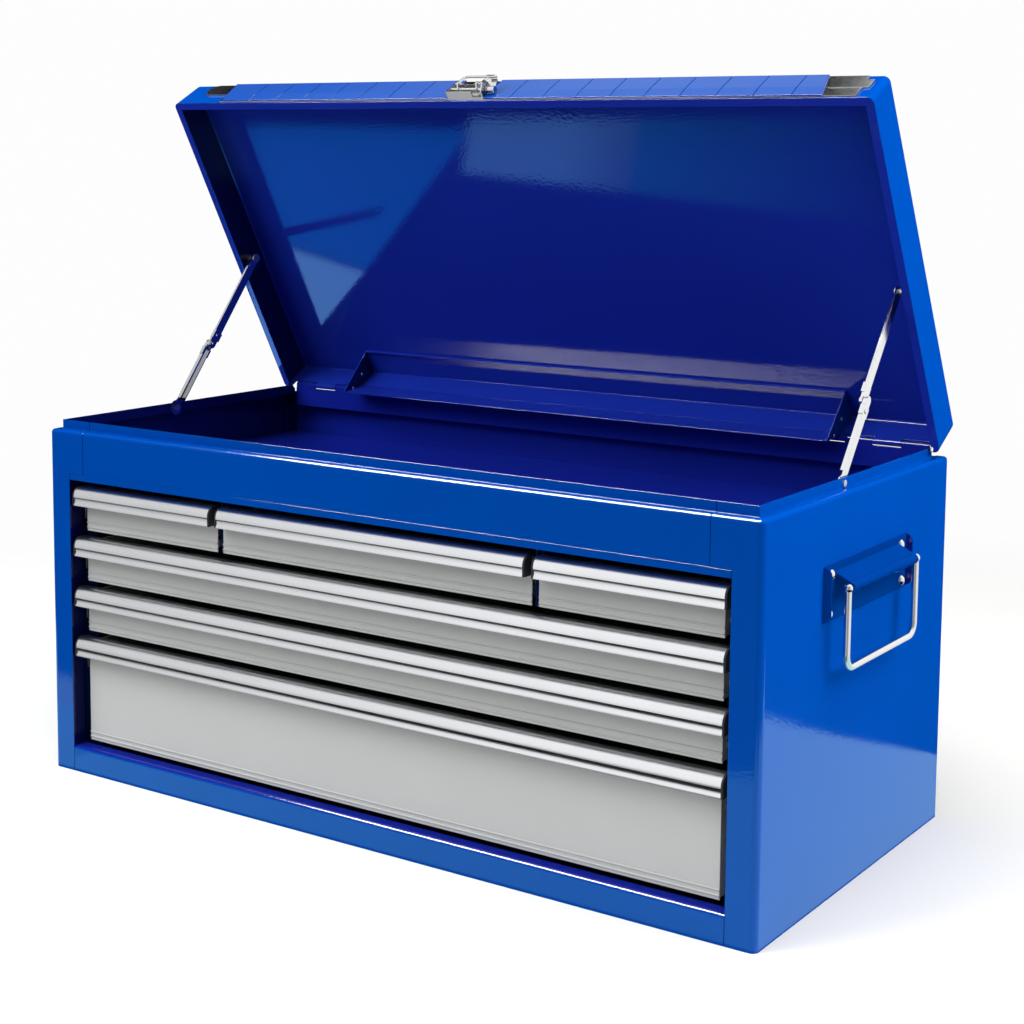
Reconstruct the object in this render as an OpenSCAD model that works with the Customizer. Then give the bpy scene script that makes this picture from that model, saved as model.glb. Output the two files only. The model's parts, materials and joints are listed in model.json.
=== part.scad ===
// Portable steel tool chest: six drawers under an open till, with a propped lid.
// Frame: +X to the right, +Y to the back, +Z up, origin at the centre of the underside.
// The lid is drawn closed and then swung to its rest position on its stays.

/* [Cabinet] */
// Outside width of the cabinet
body_w = 660; // [600:1:720]
// Outside depth of the cabinet
body_d = 315; // [290:1:340]
// Thickness of the steel sheet
sheet = 1; // [0.8:0.05:1.3]
// Outside bend radius of the upright front corners
corner_r = 5; // [4:0.25:7]
// Outside bend radius where a wall turns in to the ledge
ledge_r = 3; // [2:0.25:3.75]
// Width of the ledge outside the riser, front and sides
riser_inset = 8; // [7:0.25:10]
// Height of the riser above the ledge
riser_h = 7.5; // [6:0.25:8.5]
// Width of the ledge behind the back riser
back_ledge = 9.5; // [8:0.25:12]
// Gap that shows at a lap or butt seam
seam = 0.4; // [0.2:0.1:0.8]

/* [Front frame] */
// Width of the stile beside the drawers
stile_w = 23; // [18:0.5:30]
// Height of the bottom rail
rail_h = 21.7; // [16:0.1:30]
// Height of the header above the drawers
header_h = 40.7; // [32:0.1:55]
// Width of the corner tab that the header meets, from the stile inwards
tab_w = 16; // [10:0.5:24]
// Height of the header's strip below the corner tab
tab_drop = 5.7; // [3:0.1:10]
// Depth of the flanges that turn in around the drawer opening
return_d = 12.5; // [8:0.5:14]

/* [Drawers] */
// Height of the three upper rows of drawer fronts
small_front_h = 41.5; // [36:0.5:60]
// Height of the bottom drawer's front
tall_front_h = 89; // [60:0.5:120]
// Gap between two rows of fronts
row_gap = 1; // [0.6:0.1:3]
// Gap under the bottom front
foot_gap = 4.3; // [2:0.1:8]
// Gap over the top row's pulls
head_gap = 5.8; // [3:0.1:10]
// How far the fronts sit back from the frame
front_recess = 10.5; // [9.5:0.25:12]
// Room behind the drawer trays
tray_room = 18.5; // [12:0.5:60]
// Centre of the dividers of the top row, from the middle
divider_x = 148.5; // [120:0.5:180]
// Thickness of a divider, over both walls
divider_t = 6; // [4:0.25:10]
// Room for a slide beside a tray
slide_gap = 10; // [9:0.25:12]
// Height of the slide channels
slide_h = 18; // [16:0.5:20]
// Running clearance inside the slides
slide_clear = 0.6; // [0.4:0.05:0.8]

/* [Pulls] */
// Height of the pull extrusion
pull_h = 15.5; // [14:0.25:18]
// Radius of the pull's rounded top front
pull_r = 7.5; // [6:0.25:8]
// Wall thickness of the pull extrusion
pull_t = 1.6; // [1.2:0.1:1.9]
// Gap between a pull's end and the stile
pull_gap = 3.3; // [2:0.1:5]

/* [Lid] */
// Height of the lid over its rim
lid_h = 34.5; // [32:0.5:50]
// Gap between the closed lid's rim and the ledge
lid_gap = 0.5; // [0.3:0.1:1.2]
// Width of the flange turned in around the lid's rim
lid_flange = 6.4; // [4:0.1:6.9]
// How far the lid is open at rest, from closed
lid_open = 61; // [58:1:64]

/* [Piano hinge] */
// Height of the hinge axis over the ledge
hinge_rise = 7.8; // [7.5:0.1:9]
// Length of the piano hinge
hinge_len = 640; // [540:4:640]
// Number of knuckles, an odd number
knuckles = 27; // [21:2:31]
// Outside radius of a knuckle
knuckle_r = 2.5; // [2.4:0.05:2.8]
// Radius of the hinge pin
pin_r = 1.5; // [1.2:0.05:1.6]
// Thickness of the hinge leaves
leaf_t = 1; // [0.8:0.05:1]
// Height of a hinge leaf from the axis
leaf_h = 20; // [14:0.5:24]

/* [Lid stays] */
// Stay pivot on the cabinet: distance in front of the middle
stay_body_y = 18; // [10:0.5:24]
// Stay pivot on the cabinet: height over the ledge
stay_body_rise = 3.3; // [3:0.1:4]
// Stay pivot on the lid: distance in front of the hinge axis
stay_lid_y = 140.2; // [138:0.1:150]
// Stay pivot on the lid: height over the lid's rim
stay_lid_rise = 10.7; // [10.5:0.1:13]
// Length of the lower link between its pivots
stay_lower = 68.4; // [66:0.1:71]
// Width of the lower link
lower_w = 7; // [6:0.25:9]
// Width of the upper link
upper_w = 8.5; // [7:0.25:10]

/* [Side handles] */
// Length of the handle bracket
bracket_l = 144; // [130:1:160]
// Height of the handle bracket
bracket_h = 39; // [36:0.5:50]
// Height of the bracket's bottom edge over the base
bracket_z = 203; // [150:1:240]
// Distance of the bracket's middle behind the cabinet's middle
bracket_y = 6; // [-20:1:20]
// Thickness of the bracket plate
bracket_t = 1.2; // [1:0.1:1.6]
// Distance of the bail's pivot line from the side panel
bail_out = 13; // [12:0.25:18]
// Height of the bail's pivot line over the bracket's bottom edge
bail_up = 24; // [20:0.5:26]
// Diameter of the bail wire
bail_d = 5; // [4:0.25:6]
// Width of the bail, centre to centre
bail_w = 120; // [100:1:126]
// Drop of the bail from its pivot line
bail_drop = 57; // [45:1:70]
// Bend radius of the bail's corners
bail_r = 10; // [7:0.5:14]

/* [Front latch and rail] */
// Left end of the lid's front rail
rail_left = -306; // [-315:1:-290]
// Right end of the lid's front rail
rail_right = 322; // [300:1:322]
// Thickness of the front rail
rail_t = 1.2; // [0.8:0.1:1.6]
// Left end of the rail's cover
cover_left = -272; // [-285:1:-250]
// Right end of the rail's cover
cover_right = 292; // [270:1:300]
// Spacing of the cover's seams
cover_pitch = 30; // [20:1:40]
// Middle of the latch
latch_x = -14.4; // [-40:0.2:40]
// Width of the latch base
latch_w = 34.4; // [30:0.2:44]
// Height that the latch base stands off the rail
latch_h = 6.6; // [6:0.1:8]
// Diameter of the latch's wire loop
loop_d = 2; // [1.6:0.1:2.2]
// Width of the wire loop, centre to centre
loop_w = 23; // [20:0.5:24]
// Length of the wire loop from its pivots
loop_l = 14.5; // [12:0.5:20]

/* [Hidden] */
$fn = 48;

paint_blue = [0.02, 0.30, 0.72];
front_grey = [0.72, 0.72, 0.72];
bright_metal = [0.86, 0.86, 0.87];
zinc = [0.66, 0.67, 0.69];
plug_grey = [0.25, 0.26, 0.28];

half_w = body_w / 2;
half_d = body_d / 2;

// Rows of drawers, counted down from 0, and the six drawers, the top row's three first
BOTTOM_ROW = 3;
LEFT = 0;
MIDDLE = 1;
RIGHT = 2;
function row_of(drawer) = drawer <= RIGHT ? 0 : drawer - RIGHT;
function front_height(row) = row == BOTTOM_ROW ? tall_front_h : small_front_h;
function front_z(row) = rail_h + foot_gap
    + (row == BOTTOM_ROW ? 0 : tall_front_h + row_gap + (2 - row) * (small_front_h + row_gap));
function front_top(row) = front_z(row) + front_height(row);

// Heights of the cabinet's frame
header_z = front_top(0) + head_gap;
ledge_z = header_z + header_h;
tab_z = header_z + tab_drop;
till_z = header_z + sheet;

// The drawer opening, and the sides of what runs in it
opening_half = half_w - stile_w;
tab_x = opening_half - tab_w;
divider_in = divider_x - divider_t / 2;
divider_out = divider_x + divider_t / 2;
front_lip = 0.5;
box_side = opening_half - slide_gap;
front_side = box_side + front_lip;
pull_side = opening_half - pull_gap;
front_y = front_recess - half_d;
tray_back = half_d - tray_room;
function span(drawer, outer, inner, middle) =
    drawer == LEFT ? [-outer, -inner] :
    drawer == MIDDLE ? [-middle, middle] :
    drawer == RIGHT ? [inner, outer] : [-outer, outer];
function front_x(drawer) = span(drawer, front_side, divider_out, divider_in);
function tray_x(drawer) = span(drawer, box_side, divider_out + slide_gap, divider_in - slide_gap);
function pull_x(drawer) = span(drawer, pull_side, divider_out, divider_in);

// Height of the flanges around the base pan, turned up, and the till's floor, turned down
pan_flange = 12;

// Uprights that carry the slides: distance of their middles from the cabinet's ends, and section
upright_in = 45;
upright_crown = 30;
upright_foot = 12;

// Trays
tray_lift = 1;
tray_drop = 4;
hem_h = 5;
bead_r = 0.7;
bead_z = [3, 7];

// End plugs of the pulls: the flange, and the body in the extrusion
plug_t = 1.5;
plug_in = 6;

// Slides: a channel with lips on the cabinet, and a hat section on the tray that it holds
slide_drop = 20.5;
slide_front = 5;
slide_back = 9;
channel_d = 7;
lip_h = 3;
runner_setback = 6;

// Hinge line and the lid's levels, with the lid closed
hinge_y = half_d - back_ledge - sheet - leaf_t + knuckle_r;
hinge_z = ledge_z + hinge_rise;
hinge_clear = 0.4;
knuckle_pitch = hinge_len / knuckles;
knuckle_gap = 0.4;
lid_rim = ledge_z + lid_gap;
lid_top = lid_rim + lid_h;
lid_back = half_d - back_ledge;

// Stays: pivots in the plane across the cabinet, as [y, z]
function swing(p) = [
    hinge_y + (p[0] - hinge_y) * cos(lid_open) + (p[1] - hinge_z) * sin(lid_open),
    hinge_z - (p[0] - hinge_y) * sin(lid_open) + (p[1] - hinge_z) * cos(lid_open)];
stay_foot = [-stay_body_y, ledge_z + stay_body_rise];
stud_closed = [hinge_y - stay_lid_y, lid_rim + stay_lid_rise];
stay_head = swing(stud_closed);
stay_reach = norm(stay_head - stay_foot);
stay_tilt = atan2(stay_head[1] - stay_foot[1], stay_head[0] - stay_foot[0]);
stay_upper = stay_reach - stay_lower;
pivot_clear = 0.05;
layer_gap = 0.4;
stay_wall = half_w - riser_inset - sheet;
lower_d = 3.2;
upper_t = 1.8;
lower_x = stay_wall - layer_gap - lower_d;
upper_x = lower_x - layer_gap - upper_t;
eye_r = 6.5;
foot_rivet_r = 2;
stud_r = 2.2;
stud_shoulder_r = 3;
stay_head_r = 4;
head_t = 1;
sleeve_l = 8;
sleeve_start = 5;

// Side handles
bail_x = half_w + bail_out;
bail_z = bracket_z + bail_up;
wire_r = bail_d / 2;
roll_r = wire_r + pivot_clear + bracket_t;
roll_end_gap = 1;
rivet_r = 4;
rivet_dome = 2.2;
upper_rivet_y = 61.5;
upper_rivet_up = 32;
lower_rivet_y = 64;
lower_rivet_up = 5;

// Front rail: its two strips, as heights over the closed lid's rim
rail_low = 1;
rail_mid = 12;
rail_groove = 1.4;

// Latch, in the closed lid's frame
lid_face = -half_d;
latch_back = lid_face - rail_t;
latch_low = lid_rim + 1;
latch_tall = 13.5;
latch_t = 1.2;
shaft_r = 1.5;
shaft_y = latch_back - 4.8;
shaft_z = latch_low + 7;
crank = [-3.9, 2];
crank_y = shaft_y + crank[0];
crank_z = shaft_z + crank[1];
loop_r = loop_d / 2;

// ---------- helpers ----------

// Draws a profile of (y, z) along X, from x0 to x1
module run_x(x0, x1) {
    translate([x0, 0, 0]) rotate([90, 0, 90]) linear_extrude(x1 - x0) children();
}

// Draws a profile of (x, z) along Y, from y0 to y1
module run_y(y0, y1) {
    translate([0, y1, 0]) rotate([90, 0, 0]) linear_extrude(y1 - y0) children();
}

// A block given by two opposite corners
module block(a, b) {
    translate(a) cube(b - a);
}

// A cylinder along X, from x0 to x1, at (y, z)
module bar_x(x0, x1, y, z, r) {
    translate([x0, y, z]) rotate([0, 90, 0]) cylinder(h = x1 - x0, r = r);
}

// Its child on the right, and the mirror image on the left
module both_sides() {
    children();
    mirror([1, 0, 0]) children();
}

// Swings what is drawn on the closed lid to the lid's rest position
module on_open_lid() {
    translate([0, hinge_y, hinge_z]) rotate([-lid_open, 0, 0]) translate([0, -hinge_y, -hinge_z])
        children();
}

// Quarter ring in the quadrant -x, +y
module quarter_ring(outer, inner) {
    intersection() {
        difference() {
            circle(outer);
            circle(inner);
        }
        translate([-outer, 0]) square(outer);
    }
}

// Wall, bend and the level sheet at its top in section: x runs inwards from the outer face
module bent_wall_2d(bottom, top, end) {
    translate([0, bottom]) square([sheet, top - ledge_r - bottom]);
    translate([ledge_r, top - ledge_r]) quarter_ring(ledge_r, ledge_r - sheet);
    translate([ledge_r, top - sheet]) square([end - ledge_r, sheet]);
}

// The cabinet's wall and its ledge in section
module wall_2d(bottom, ledge_end) {
    bent_wall_2d(bottom, ledge_z, ledge_end);
}

// Turns a wall's section through an upright corner, which starts at the given angle
module corner_sweep(start) {
    rotate([0, 0, start]) rotate_extrude(angle = 90)
        translate([corner_r, 0]) mirror([1, 0]) children();
}

// Rivet head with a domed top, standing on the plane x = 0 towards +X
module dome_head(r, height) {
    ball_r = (r * r + height * height) / (2 * height);
    rotate([0, 90, 0]) rotate_extrude() intersection() {
        translate([0, height - ball_r]) circle(ball_r);
        square([r, height]);
    }
}

// ---------- cabinet ----------

module side_panel() {
    riser_end = half_d - back_ledge - 3;
    riser_x = half_w - riser_inset - sheet;
    corner_x = half_w - corner_r;
    lap = 8;
    difference() {
        union() {
            translate([half_w, 0, 0]) mirror([1, 0, 0])
                run_y(corner_r - half_d, half_d) wall_2d(0, riser_inset + sheet);
            translate([corner_x, corner_r - half_d, 0]) corner_sweep(-90) wall_2d(0, corner_r);
            translate([0, -half_d, 0]) run_x(tab_x, corner_x) wall_2d(tab_z, riser_inset + sheet);
            block([tab_x - lap, sheet - half_d, tab_z + lap],
                [tab_x + lap, 2 * sheet - half_d, ledge_z - lap]);
            block([opening_half, -half_d, 0], [corner_x, sheet - half_d, tab_z]);
            block([opening_half, -half_d, rail_h],
                [opening_half + sheet, return_d - half_d, header_z]);
            block([tab_x, riser_inset - half_d, ledge_z - sheet],
                [riser_x + sheet, riser_inset + sheet - half_d, ledge_z + riser_h]);
            run_x(riser_x, riser_x + sheet) polygon([
                [riser_inset - half_d, ledge_z - sheet],
                [riser_end, ledge_z - sheet],
                [riser_end, ledge_z + riser_h / 2],
                [riser_end - riser_h / 2, ledge_z + riser_h],
                [riser_inset - half_d, ledge_z + riser_h]]);
        }
        bar_x(riser_x - sheet, riser_x + 2 * sheet, stay_foot[0], stay_foot[1], foot_rivet_r);
    }
}

module side_panel_left() {
    color(paint_blue) mirror([1, 0, 0]) side_panel();
}

module side_panel_right() {
    color(paint_blue) side_panel();
}

module back_panel() {
    inner_w = half_w - sheet;
    ledge_w = half_w - riser_inset - sheet;
    flange = 15;
    color(paint_blue) {
        translate([0, half_d, 0]) mirror([0, 1, 0])
            run_x(-ledge_w, ledge_w) wall_2d(0, back_ledge + sheet);
        both_sides() {
            block([ledge_w, half_d - sheet, 0], [half_w - ledge_r, half_d, ledge_z - sheet]);
            block([ledge_w, half_d - sheet, 0], [inner_w, half_d, ledge_z - ledge_r]);
            block([inner_w - sheet, half_d - flange, flange],
                [inner_w, half_d - sheet / 2, ledge_z - sheet - flange]);
        }
        block([-ledge_w, lid_back - sheet, ledge_z - sheet],
            [ledge_w, lid_back, hinge_z - knuckle_r - hinge_clear]);
    }
}

module base_pan() {
    inner_w = half_w - sheet;
    inner_d = half_d - sheet;
    margin = 20;
    color(paint_blue) {
        block([-inner_w, corner_r - half_d, 0], [inner_w, inner_d, sheet]);
        block([corner_r - half_w, -inner_d, 0], [half_w - corner_r, corner_r - half_d, sheet]);
        both_sides()
            block([inner_w - sheet, margin - half_d, 0],
                [inner_w, half_d - margin, pan_flange]);
        block([margin - half_w, inner_d - sheet, 0], [half_w - margin, inner_d, pan_flange]);
        block([margin - opening_half, -inner_d, 0],
            [opening_half - margin, sheet - inner_d, pan_flange]);
    }
}

module front_header() {
    header_x = tab_x - seam;
    color(paint_blue) {
        translate([0, -half_d, 0])
            run_x(-header_x, header_x) wall_2d(tab_z, riser_inset + sheet);
        block([-header_x, riser_inset - half_d, ledge_z - sheet],
            [header_x, riser_inset + sheet - half_d, ledge_z + riser_h]);
    }
}

// Rail over the drawer opening, flush under the header
module top_rail() {
    header_x = tab_x - seam;
    rail_x = opening_half - seam;
    color(paint_blue) {
        block([-header_x, -half_d, header_z], [header_x, sheet - half_d, tab_z]);
        block([-rail_x, -half_d, header_z], [rail_x, sheet - half_d, tab_z - seam]);
        block([-rail_x, -half_d, header_z], [rail_x, return_d - half_d, header_z + sheet]);
    }
}

module bottom_rail() {
    rail_x = opening_half - seam;
    lap = 12;
    color(paint_blue) {
        run_x(-rail_x, rail_x) translate([-half_d, 0]) {
            square([sheet, rail_h - ledge_r]);
            translate([ledge_r, rail_h - ledge_r]) quarter_ring(ledge_r, ledge_r - sheet);
            translate([ledge_r, rail_h - sheet]) square([return_d - ledge_r, sheet]);
            translate([return_d - sheet, rail_h - ledge_r]) square([sheet, ledge_r]);
        }
        both_sides()
            block([rail_x - sheet * 8, sheet - half_d, 2 * sheet],
                [rail_x + lap, 2 * sheet - half_d, rail_h - 2 * ledge_r]);
    }
}

module till_floor() {
    inner_w = half_w - sheet;
    inner_d = half_d - sheet;
    margin = 20;
    flange_end = half_d - upright_in - upright_crown / 2 - upright_foot - sheet;
    color(paint_blue) {
        block([sheet - inner_w, corner_r - half_d, till_z], [inner_w - sheet, inner_d, till_z + sheet]);
        block([margin - tab_x, 2 * sheet - half_d, till_z],
            [tab_x - margin, corner_r - half_d, till_z + sheet]);
        both_sides()
            block([inner_w - sheet, -flange_end, till_z + sheet - pan_flange],
                [inner_w, flange_end, till_z + sheet]);
        block([margin - half_w, inner_d - sheet, till_z + sheet - pan_flange],
            [half_w - margin, inner_d, till_z + sheet]);
    }
}

// Divider between two drawers of the top row: a trough hung from the till's floor
module divider() {
    bottom = front_z(0) + 3;
    foot = 8;
    front = front_y + sheet + slide_front - 1;
    back = half_d - slide_back;
    color(paint_blue) run_y(front, back) translate([divider_x, 0]) {
        for (side = [-1, 1]) scale([side, 1]) {
            translate([divider_t / 2 - sheet, bottom]) square([sheet, till_z - bottom]);
            translate([divider_t / 2 - sheet, till_z - sheet]) square([foot, sheet]);
        }
        translate([-divider_t / 2, bottom]) square([divider_t, sheet]);
    }
}

module divider_left() {
    mirror([1, 0, 0]) divider();
}

module divider_right() {
    divider();
}

// Hat-section uprights on the side panels, which carry the slides
module slide_uprights() {
    crown = upright_crown;
    inner_w = half_w - sheet;
    color(paint_blue) both_sides() for (end = [-1, 1])
        translate([0, end * (half_d - upright_in), pan_flange]) linear_extrude(till_z - pan_flange) {
            translate([opening_half, -crown / 2]) square([sheet, crown]);
            for (edge = [-1, 1]) scale([1, edge]) {
                translate([opening_half, crown / 2 - sheet])
                    square([inner_w - opening_half, sheet]);
                translate([inner_w - sheet, crown / 2 - sheet])
                    square([sheet, upright_foot + sheet]);
            }
        }
}

// ---------- slides ----------

// Section of the cabinet's slide channel: x runs from its back towards the tray
module channel_2d() {
    translate([0, -slide_h / 2]) square([sheet, slide_h]);
    for (edge = [-1, 1]) scale([1, edge]) {
        translate([0, slide_h / 2 - sheet]) square([channel_d, sheet]);
        translate([channel_d - sheet, slide_h / 2 - lip_h]) square([sheet, lip_h]);
    }
}

// Section of the tray's runner, held behind the channel's lips
module runner_2d() {
    leg_out = slide_h / 2 - lip_h - slide_clear;
    head_out = slide_h / 2 - sheet - slide_clear;
    head_x = sheet + slide_clear;
    translate([head_x, -head_out]) square([sheet, 2 * head_out]);
    for (edge = [-1, 1]) scale([1, edge]) {
        translate([head_x, leg_out - sheet]) square([slide_gap - head_x, sheet]);
        translate([slide_gap - sheet, leg_out - sheet]) square([sheet, slide_h / 2 - leg_out]);
    }
}

// One channel with its back at x, opening towards +X or -X
module channel_at(x, row, towards) {
    translate([x, 0, front_top(row) - slide_drop])
        run_y(front_y + sheet + slide_front, half_d - slide_back)
            scale([towards, 1]) channel_2d();
}

module cabinet_slides() {
    color(zinc) both_sides() {
        for (row = [0:BOTTOM_ROW]) channel_at(opening_half, row, -1);
        channel_at(divider_out, 0, 1);
        channel_at(divider_in, 0, -1);
    }
}

// The two runners of a tray
module runners(drawer) {
    sides = tray_x(drawer);
    color(zinc) translate([0, 0, front_top(row_of(drawer)) - slide_drop])
        run_y(front_y + sheet + runner_setback, tray_back) {
            translate([sides[1] + slide_gap, 0]) scale([-1, 1]) runner_2d();
            translate([sides[0] - slide_gap, 0]) runner_2d();
        }
}

// ---------- drawers ----------

// Folded tray with its front: an open box, hemmed along its top edges
module tray(drawer) {
    row = row_of(drawer);
    sides = tray_x(drawer);
    front = front_x(drawer);
    floor_z = front_z(row) + tray_lift;
    wall_top = front_top(row) - tray_drop;
    back = tray_back;
    inner_y = front_y + sheet;
    color(front_grey) difference() {
        union() {
            block([front[0], front_y, front_z(row)], [front[1], inner_y, front_top(row) - pull_t]);
            for (z = bead_z) bar_x(front[0], front[1], front_y, front_z(row) + z, bead_r);
            block([sides[0], inner_y, floor_z], [sides[1], back, wall_top]);
        }
        block([sides[0] + sheet, inner_y, floor_z + sheet],
            [sides[1] - sheet, back - sheet, wall_top - hem_h]);
        block([sides[0] + 2 * sheet, inner_y, wall_top - hem_h],
            [sides[1] - 2 * sheet, back - 2 * sheet, wall_top]);
    }
}

// Section of the pull: x is outwards from the front's face when negative, y down from its top
module pull_2d() {
    bow = pull_r - front_recess;
    rear_leg = 2.4;
    front_leg = 10;
    lip = 3.2;
    rear_t = 1.2;
    flute_r = 6;
    flute_depth = 0.8;
    difference() {
        union() {
            translate([bow, -pull_t]) square([sheet + rear_t - bow, pull_t]);
            translate([sheet, -pull_t - rear_leg]) square([rear_t, rear_leg + pull_t]);
            translate([-pull_t, -front_leg]) square([pull_t, front_leg]);
            translate([bow, -pull_r]) quarter_ring(pull_r, pull_r - pull_t);
            translate([-front_recess, -pull_h]) square([pull_t, pull_h - pull_r]);
            translate([-front_recess, -pull_h]) square([lip, pull_t]);
        }
        translate([-front_recess - flute_r + flute_depth, -(pull_h + pull_r) / 2]) circle(flute_r);
    }
}

// Outline of the pull's hood, solid: outer when inset is 0, its hollow when inset is the wall
module hood_2d(inset) {
    bow = pull_r - front_recess;
    translate([bow, inset - pull_h]) square([-bow - inset, pull_h - 2 * inset]);
    translate([inset - front_recess, inset - pull_h]) square([pull_r - inset, pull_h - pull_r - inset]);
    translate([bow, -pull_r]) intersection() {
        circle(pull_r - inset);
        translate([-pull_r, 0]) square(pull_r);
    }
}

module pull(drawer) {
    ends = pull_x(drawer);
    color(bright_metal) translate([0, front_y, front_top(row_of(drawer))])
        run_x(ends[0] + plug_t, ends[1] - plug_t) pull_2d();
}

// End plugs: a flange over the pull's end, and a body that fills its hollow
module plugs(drawer) {
    ends = pull_x(drawer);
    color(plug_grey) translate([0, front_y, front_top(row_of(drawer))]) {
        run_x(ends[0], ends[0] + plug_t) hood_2d(0);
        run_x(ends[0] + plug_t, ends[0] + plug_t + plug_in) hood_2d(pull_t);
        run_x(ends[1] - plug_t, ends[1]) hood_2d(0);
        run_x(ends[1] - plug_t - plug_in, ends[1] - plug_t) hood_2d(pull_t);
    }
}

// ---------- lid, drawn closed ----------

// Wall, top bend and rim flange of the lid in section
module lid_wall_2d(flange) {
    bent_wall_2d(lid_rim, lid_top, corner_r);
    translate([0, lid_rim]) square([flange, sheet]);
}

module lid_shell() {
    corner_x = half_w - corner_r;
    front_corner = corner_r - half_d;
    back_corner = lid_back - corner_r;
    back_cut = hinge_z + knuckle_r + hinge_clear;
    cut_x = half_w - riser_inset + 2;
    color(paint_blue) on_open_lid() difference() {
        union() {
            block([-corner_x, front_corner, lid_top - sheet], [corner_x, back_corner, lid_top]);
            translate([0, -half_d, 0]) run_x(-corner_x, corner_x) lid_wall_2d(lid_flange);
            translate([0, lid_back, 0]) mirror([0, 1, 0])
                run_x(-corner_x, corner_x) lid_wall_2d(sheet);
            both_sides() {
                translate([half_w, 0, 0]) mirror([1, 0, 0])
                    run_y(front_corner, back_corner) lid_wall_2d(lid_flange);
                translate([corner_x, front_corner, 0]) corner_sweep(-90) lid_wall_2d(corner_r);
                translate([corner_x, back_corner, 0]) corner_sweep(0) lid_wall_2d(corner_r);
            }
        }
        block([-cut_x, lid_back - 2 * sheet, lid_rim - sheet], [cut_x, lid_back + sheet, back_cut]);
    }
}

// Stiffening bracket along the lid's back, with triangular end gussets
module lid_bracket() {
    half_l = 244;
    reach = 28;
    lip = 3;
    plate_z = lid_top - sheet;
    back = lid_back - sheet - leaf_t;
    bend_z = hinge_z + knuckle_r + 1;
    toe_in = 10;
    toe_drop = 21.3;
    toe = [back - toe_in, hinge_z - toe_drop];
    front = hinge_y - reach;
    color(paint_blue) on_open_lid() {
        run_x(-half_l, half_l) {
            translate([front, plate_z - sheet]) square([back - sheet - front, sheet]);
            translate([front, plate_z - lip]) square([sheet, lip]);
            translate([back - sheet, plate_z - sheet]) intersection() {
                circle(sheet);
                square(sheet);
            }
            translate([back - sheet, bend_z]) square([sheet, plate_z - sheet - bend_z]);
            polygon([[back - sheet, bend_z], [back, bend_z], [toe[0] + sheet, toe[1]], toe]);
        }
        both_sides() run_x(half_l - sheet, half_l)
            polygon([[front, plate_z], [back - sheet, plate_z], [back, plate_z - sheet],
                [back, bend_z], [toe[0] + sheet, toe[1]], toe]);
    }
}

// ---------- piano hinge ----------

// One leaf: side is -1 for the cabinet's, below the axis, and 1 for the lid's, above it
module hinge_leaf(side, first, bore_r) {
    plate_y = hinge_y - knuckle_r;
    inner = knuckle_r + hinge_clear;
    translate([0, 0, hinge_z]) difference() {
        union() {
            scale([1, 1, side]) block([-hinge_len / 2, plate_y, inner],
                [hinge_len / 2, plate_y + leaf_t, leaf_h]);
            for (i = [first:2:knuckles - 1]) {
                x0 = -hinge_len / 2 + i * knuckle_pitch + knuckle_gap / 2;
                x1 = x0 + knuckle_pitch - knuckle_gap;
                bar_x(x0, x1, hinge_y, 0, knuckle_r);
                scale([1, 1, side]) block([x0, plate_y, 0], [x1, plate_y + leaf_t, inner]);
            }
        }
        bar_x(-hinge_len, hinge_len, hinge_y, 0, bore_r);
    }
}

module hinge_body_leaf() {
    color(paint_blue) hinge_leaf(-1, 0, pin_r);
}

module hinge_lid_leaf() {
    color(paint_blue) on_open_lid() hinge_leaf(1, 1, pin_r + pivot_clear);
}

module hinge_pin() {
    color(zinc) bar_x(-hinge_len / 2, hinge_len / 2, hinge_y, hinge_z, pin_r);
}

// ---------- lid stays ----------

// Rivets of the lower links, through the riser
module stay_rivets() {
    web_x = lower_x + lower_d - sheet;
    color(zinc) both_sides() {
        bar_x(web_x - head_t, stay_wall + sheet, stay_foot[0], stay_foot[1], foot_rivet_r);
        bar_x(web_x - layer_gap / 2 - head_t, web_x - layer_gap / 2, stay_foot[0], stay_foot[1], 3);
        bar_x(stay_wall + sheet, stay_wall + sheet + 0.9, stay_foot[0], stay_foot[1], 2.6);
    }
}

// Shouldered studs on the lid's side walls
module stay_studs() {
    color(zinc) on_open_lid() both_sides() {
        bar_x(upper_x + upper_t + layer_gap / 2, half_w - sheet, stud_closed[0], stud_closed[1],
            stud_shoulder_r);
        bar_x(upper_x - layer_gap / 4, upper_x + upper_t + layer_gap / 2,
            stud_closed[0], stud_closed[1], stud_r);
        bar_x(upper_x - layer_gap / 4 - head_t, upper_x - layer_gap / 4,
            stud_closed[0], stud_closed[1], stay_head_r);
    }
}

// Lower link: a channel with an eye at the cabinet and a half rivet at the knuckle
module stay_lower_link() {
    web_x = lower_x + lower_d - sheet;
    outer_x = lower_x + lower_d;
    start = eye_r + 2;
    half = lower_w / 2;
    color(bright_metal) translate([0, stay_foot[0], stay_foot[1]]) rotate([stay_tilt, 0, 0]) {
        difference() {
            union() {
                bar_x(web_x, outer_x, 0, 0, eye_r);
                block([web_x, 0, -half], [outer_x, stay_lower, half]);
            }
            bar_x(web_x - sheet, outer_x + sheet, 0, 0, foot_rivet_r + pivot_clear);
        }
        bar_x(web_x, outer_x, stay_lower, 0, half);
        for (edge = [-1, 1]) scale([1, 1, edge])
            block([lower_x, start, half - sheet], [outer_x, stay_lower, half]);
        bar_x(lower_x, outer_x, stay_lower, 0, half - sheet / 2);
        for (edge = [-1, 1]) scale([1, 1, edge])
            block([lower_x, stay_lower - sleeve_start - sleeve_l, half - sheet],
                [outer_x, stay_lower - sleeve_start, half + sheet]);
    }
}

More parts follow.
